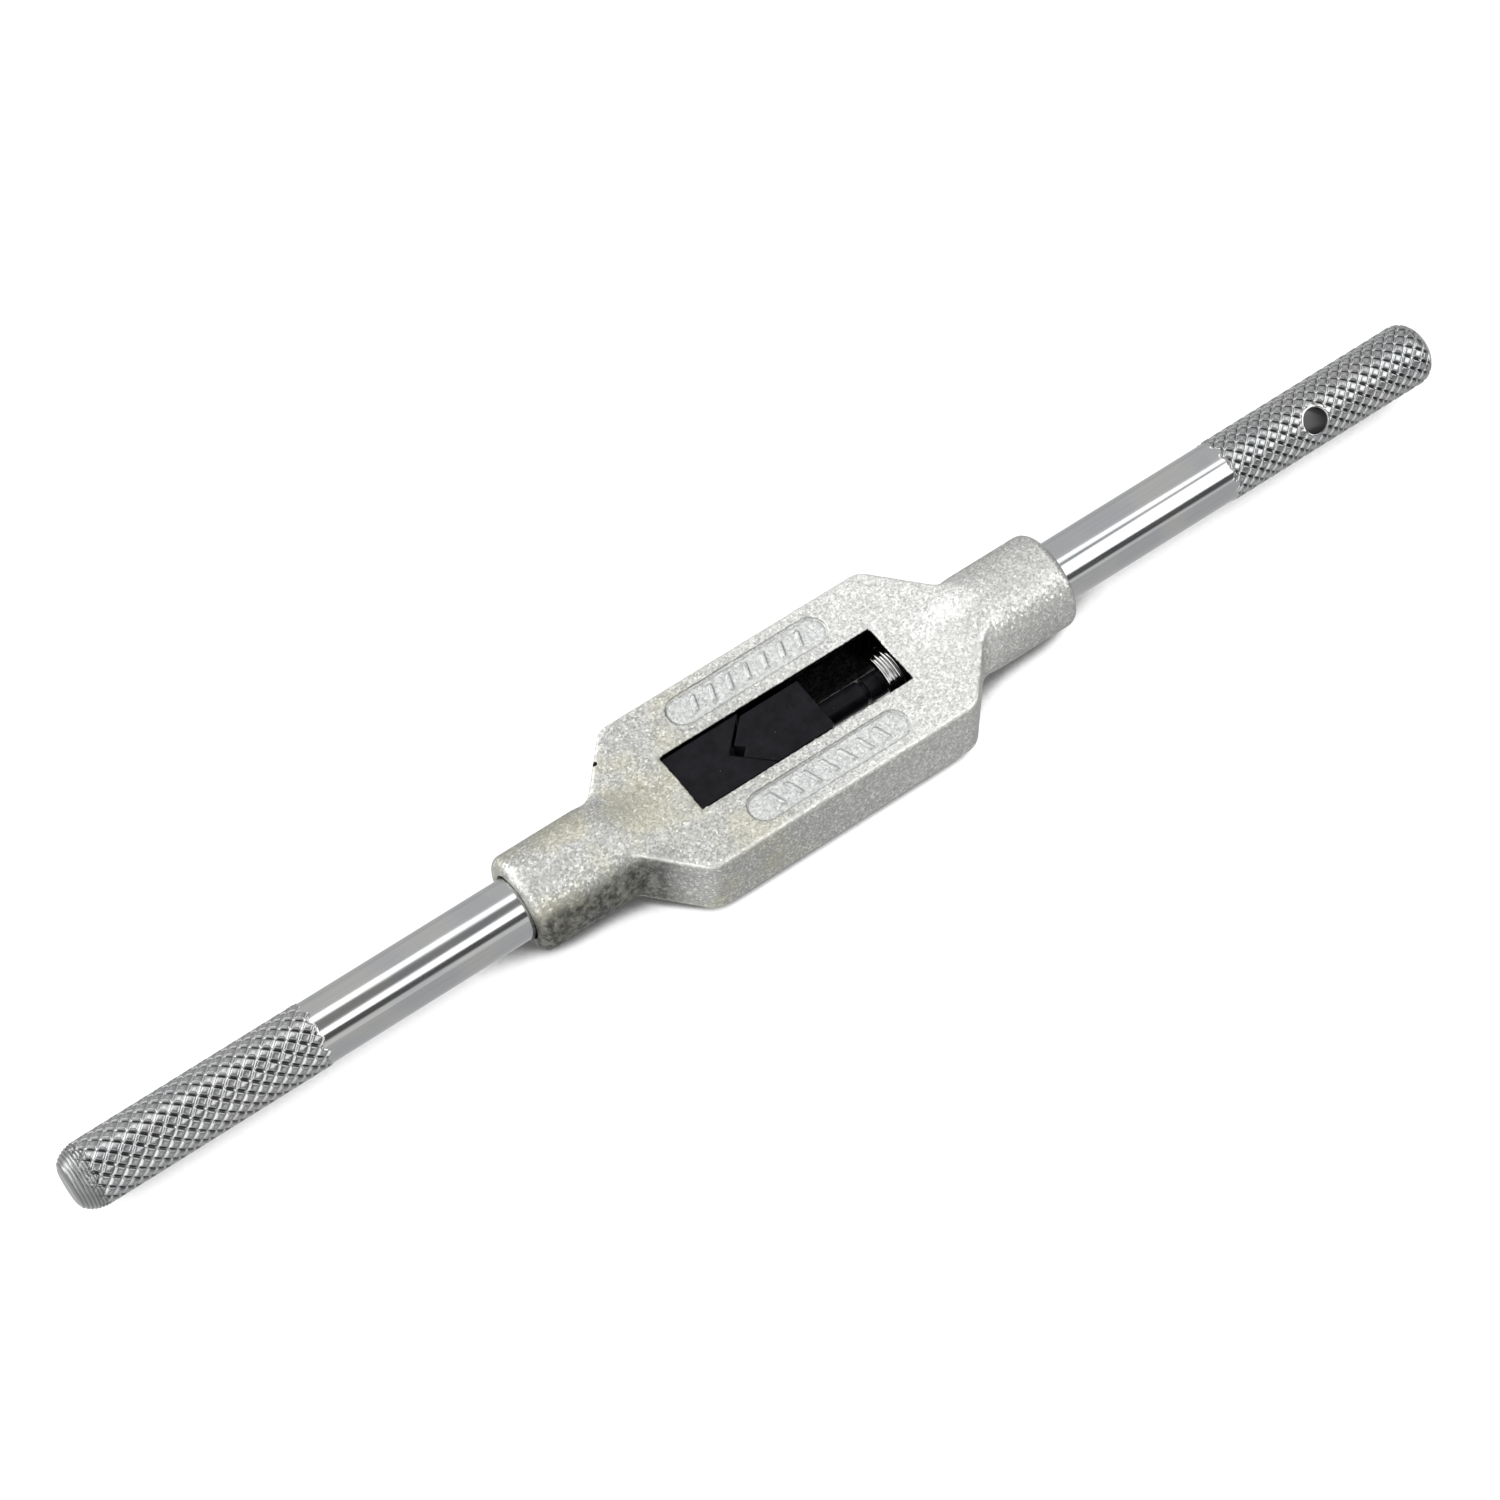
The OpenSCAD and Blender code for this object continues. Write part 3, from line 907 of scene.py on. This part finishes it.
def moving_jaw_field(p):
    """A block with a pointed nose to the left, a small notch in it, and the spindle's bore."""
    x, y, z = p.T
    across = y - JAW_Y
    width = moving_high[1] - JAW_Y
    tip_x = moving_low[0]
    block = smooth_max(np.abs(across) - width, x - moving_high[0], EDGE)
    block = smooth_max(block, np.abs(z) - moving_high[2], EDGE)
    nose = (np.abs(across) - NOSE_FLAT - (x - tip_x)) / math.sqrt(2)
    notch = (tip_x + NOSE_FLAT - np.abs(across) - x) / math.sqrt(2)
    corner = (x - moving_high[0] - across - width + CORNER_CUT) / math.sqrt(2)
    for face in (nose, notch, corner):
        block = smooth_max(block, face, NOTCH_EDGE)
    bore = np.maximum(np.hypot(y, z) - SPINDLE_BORE[0], moving_high[0] - SPINDLE_BORE[1] - x)
    pin = np.maximum(np.hypot(x - SWIVEL_X, y - SWIVEL_Y) - SWIVEL_R, z - swivel_high[2])
    block = smooth_max(block, -bore, 0.1)
    return smooth_max(block, -pin, 0.06)


def make_jaw(name, field, low, high, node, body):
    """A black jaw, meshed from its field."""
    step = 0.08
    verts, faces = surface_net(field, low - 0.35, high + 0.35, step)
    make_piece(name, verts, faces, BLACK, node, body)


def make_pin(name, low, high, node, body):
    """A dowel along Z with rounded ends."""
    r = (high[0] - low[0]) / 2
    rows, radii = profile([[low[2], 0.02], [low[2], r], [high[2], r], [high[2], 0.02]], 0.15)
    centre = ((low[0] + high[0]) / 2, (low[1] + high[1]) / 2, 0)
    verts, faces = turned(rows, lambda x, a: np.interp(x, rows, radii), 48, centre, "Z")
    make_piece(name, verts, faces, DOWEL, node, body)


def make_spindle():
    """A bar with a neck for the swivel dowel, a groove, and a tail inside the handle."""
    nose = right_low[0]
    neck = (SWIVEL_X - 0.7, SWIVEL_X + 0.7)
    groove = (nose - 2.0, nose - 1.5)
    r, neck_r, groove_r, tail_r = spindle_high[1], 0.85, 1.1, 1.25
    shape = [[spindle_low[0], AXIS_R], [spindle_low[0], r],
             [neck[0], r], [neck[0], neck_r], [neck[1], neck_r], [neck[1], r],
             [groove[0], r], [groove[0], groove_r], [groove[1], groove_r], [groove[1], r],
             [nose, r], [nose, tail_r], [spindle_high[0], tail_r], [spindle_high[0], AXIS_R]]
    rows, radii = profile(shape, 0.12)
    verts, faces = turned(rows, lambda x, a: np.interp(x, rows, radii), 96)
    make_piece("spindle_bar", verts, faces, BLACK, "spindle", "screw")


make_body()
make_fixed_handle()
make_adjusting_handle()
make_jaw("fixed_jaw_block", fixed_jaw_field, fixed_low, fixed_high, "fixed_jaw", "frame")
make_jaw("moving_jaw_block", moving_jaw_field, moving_low, moving_high, "moving_jaw",
         "sliding_jaw")
make_pin("fixed_jaw_dowel", dowel_low, dowel_high, "fixed_jaw_pin", "frame")
make_pin("swivel_dowel", swivel_low, swivel_high, "swivel_pin", "sliding_jaw")
make_spindle()


# ---------------------------------------------------------------- floor, light and camera

FLOOR_HALF = 3.0   # metres
FLOOR_REACH = 7    # millimetres over which the floor's painted contact shadow reaches


def make_floor():
    """A pale lit floor under the bosses, with a painted contact shadow only where the wrench
    stands close over it.
    """
    mesh = bpy.data.meshes.new("floor")
    half, z = FLOOR_HALF, -BOSS_R * MM
    corners = [(-half, -half, z), (half, -half, z), (half, half, z), (-half, half, z)]
    mesh.from_pydata(corners, [], [(0, 1, 2, 3)])
    floor = bpy.data.objects.new("floor", mesh)
    bpy.context.scene.collection.objects.link(floor)
    s = Shade("pale_floor", Roughness=0.9, Base_Color=(0.2, 0.2, 0.2, 1))
    s.shader.inputs["Specular IOR Level"].default_value = 0.0
    s.shader.inputs["Emission Color"].default_value = (1, 1, 1, 1)
    near = s.node("ShaderNodeAmbientOcclusion", samples=24)
    near.inputs["Distance"].default_value = FLOOR_REACH * MM
    s.put("Emission Strength", s.ramp(near.outputs["AO"], 0.32, 0.44, 0.03, 0.92))
    mesh.materials.append(s.material)
    floor.visible_glossy = False
    floor.visible_diffuse = False


LEAN_CENTRE = 0.19          # the X direction at which the bars have their plain angles
BAR_LOW = (90.0, 68.0)      # each edge: change of its angle with X, and the angle itself
BAR_HIGH = (40.0, 140.0)
GAP_HALF = (-62.0, 17.0)
GAP_ANGLE = 104.0


def make_studio_light():
    """A sky of soft panels with a dark gap for the photographer, as bars of angle about X."""
    world = bpy.data.worlds.new("studio")
    bpy.context.scene.world = world
    world.use_nodes = True
    w = Nodes(world.node_tree)
    coord = w.node("ShaderNodeTexCoord")
    split = w.node("ShaderNodeSeparateXYZ")
    w.link(coord.outputs["Generated"], split.inputs[0])
    x, y, z = split.outputs
    angle = w.math("MULTIPLY", w.math("ARCTAN2", z, y), 180 / math.pi)
    aside = w.math("SUBTRACT", x, LEAN_CENTRE)
    high_edge = w.math("MULTIPLY_ADD", aside, *BAR_HIGH)

    # The bright bar, with the photographer's gap in it
    past_low = w.math("SUBTRACT", angle, w.math("MULTIPLY_ADD", aside, *BAR_LOW))
    past_high = w.math("SUBTRACT", angle, high_edge)
    above_low = w.ramp(past_low, -2.0, 2.0)
    above_high = w.ramp(past_high, -2.0, 3.0)
    panel = w.math("SUBTRACT", above_low, above_high)
    from_camera = w.math("ABSOLUTE", w.math("SUBTRACT", angle, GAP_ANGLE))
    half_gap = w.math("MULTIPLY_ADD", aside, *GAP_HALF)
    gap = w.ramp(w.math("SUBTRACT", from_camera, half_gap), 5.0, -5.0)

    # The dark strip above the bar, and the wall past it
    past_gap = w.ramp(past_high, 19.0, 25.0)
    dark = w.math("SUBTRACT", above_high, past_gap)
    level = w.math("MULTIPLY_ADD", panel, 1.75, 0.72)
    level = w.math("MULTIPLY_ADD", w.math("MULTIPLY", gap, panel), -2.15, level)
    level = w.math("MULTIPLY_ADD", dark, -0.60, level)
    level = w.math("MULTIPLY_ADD", past_gap, 0.15, level)

    # Bright far left, dark far right, dimmer below the floor and brighter to the left
    far_left = w.math("MULTIPLY", w.ramp(x, -0.42, -0.6), w.ramp(z, 0.3, 0.45))
    level = w.math("MULTIPLY_ADD", far_left, w.math("SUBTRACT", 1.6, level), level)
    far_right = w.math("MULTIPLY", w.ramp(x, 0.84, 0.92), w.ramp(z, -0.12, 0.0))
    level = w.math("MULTIPLY_ADD", far_right, -0.62, level)
    level = w.math("MULTIPLY_ADD", w.ramp(z, 0.01, -0.01), -0.1, level)
    to_left = w.math("MULTIPLY_ADD", w.ramp(x, 0.12, -0.25), 0.4, 1.0)
    level = w.math("MULTIPLY", level, to_left)
    background = w.tree.nodes["Background"]
    background.inputs["Color"].default_value = (1, 1, 1, 1)
    w.link(level, background.inputs["Strength"])


CAMERA_ANGLES = (-32.655, 56.994, -3.638)   # azimuth, elevation and roll, in degrees
CAMERA_DISTANCE = 0.45
FOCAL_LENGTH = 100.19
LENS_SHIFT = (-0.026, -0.0077)


def make_camera():
    """Looks at the body's centre from the front left."""
    azimuth, elevation, roll = (math.radians(v) for v in CAMERA_ANGLES)
    back = Vector((math.sin(azimuth) * math.cos(elevation),
                   -math.cos(azimuth) * math.cos(elevation), math.sin(elevation)))
    right = Vector((0, 0, 1)).cross(back).normalized()
    up = back.cross(right)
    rolled_right = math.cos(roll) * right + math.sin(roll) * up
    rolled_up = math.cos(roll) * up - math.sin(roll) * right
    data = bpy.data.cameras.new("camera")
    camera = bpy.data.objects.new("camera", data)
    bpy.context.scene.collection.objects.link(camera)
    turn = Matrix((rolled_right, rolled_up, back)).transposed()
    place = back * CAMERA_DISTANCE + Vector(CENTRE * MM)
    camera.matrix_world = Matrix.Translation(place) @ turn.to_4x4()
    data.sensor_width = 36.0
    data.lens = FOCAL_LENGTH
    data.shift_x, data.shift_y = LENS_SHIFT
    data.clip_start = 0.01
    data.clip_end = 20.0
    bpy.context.scene.camera = camera


make_floor()
make_studio_light()
make_camera()
bpy.context.scene.view_settings.view_transform = "Standard"
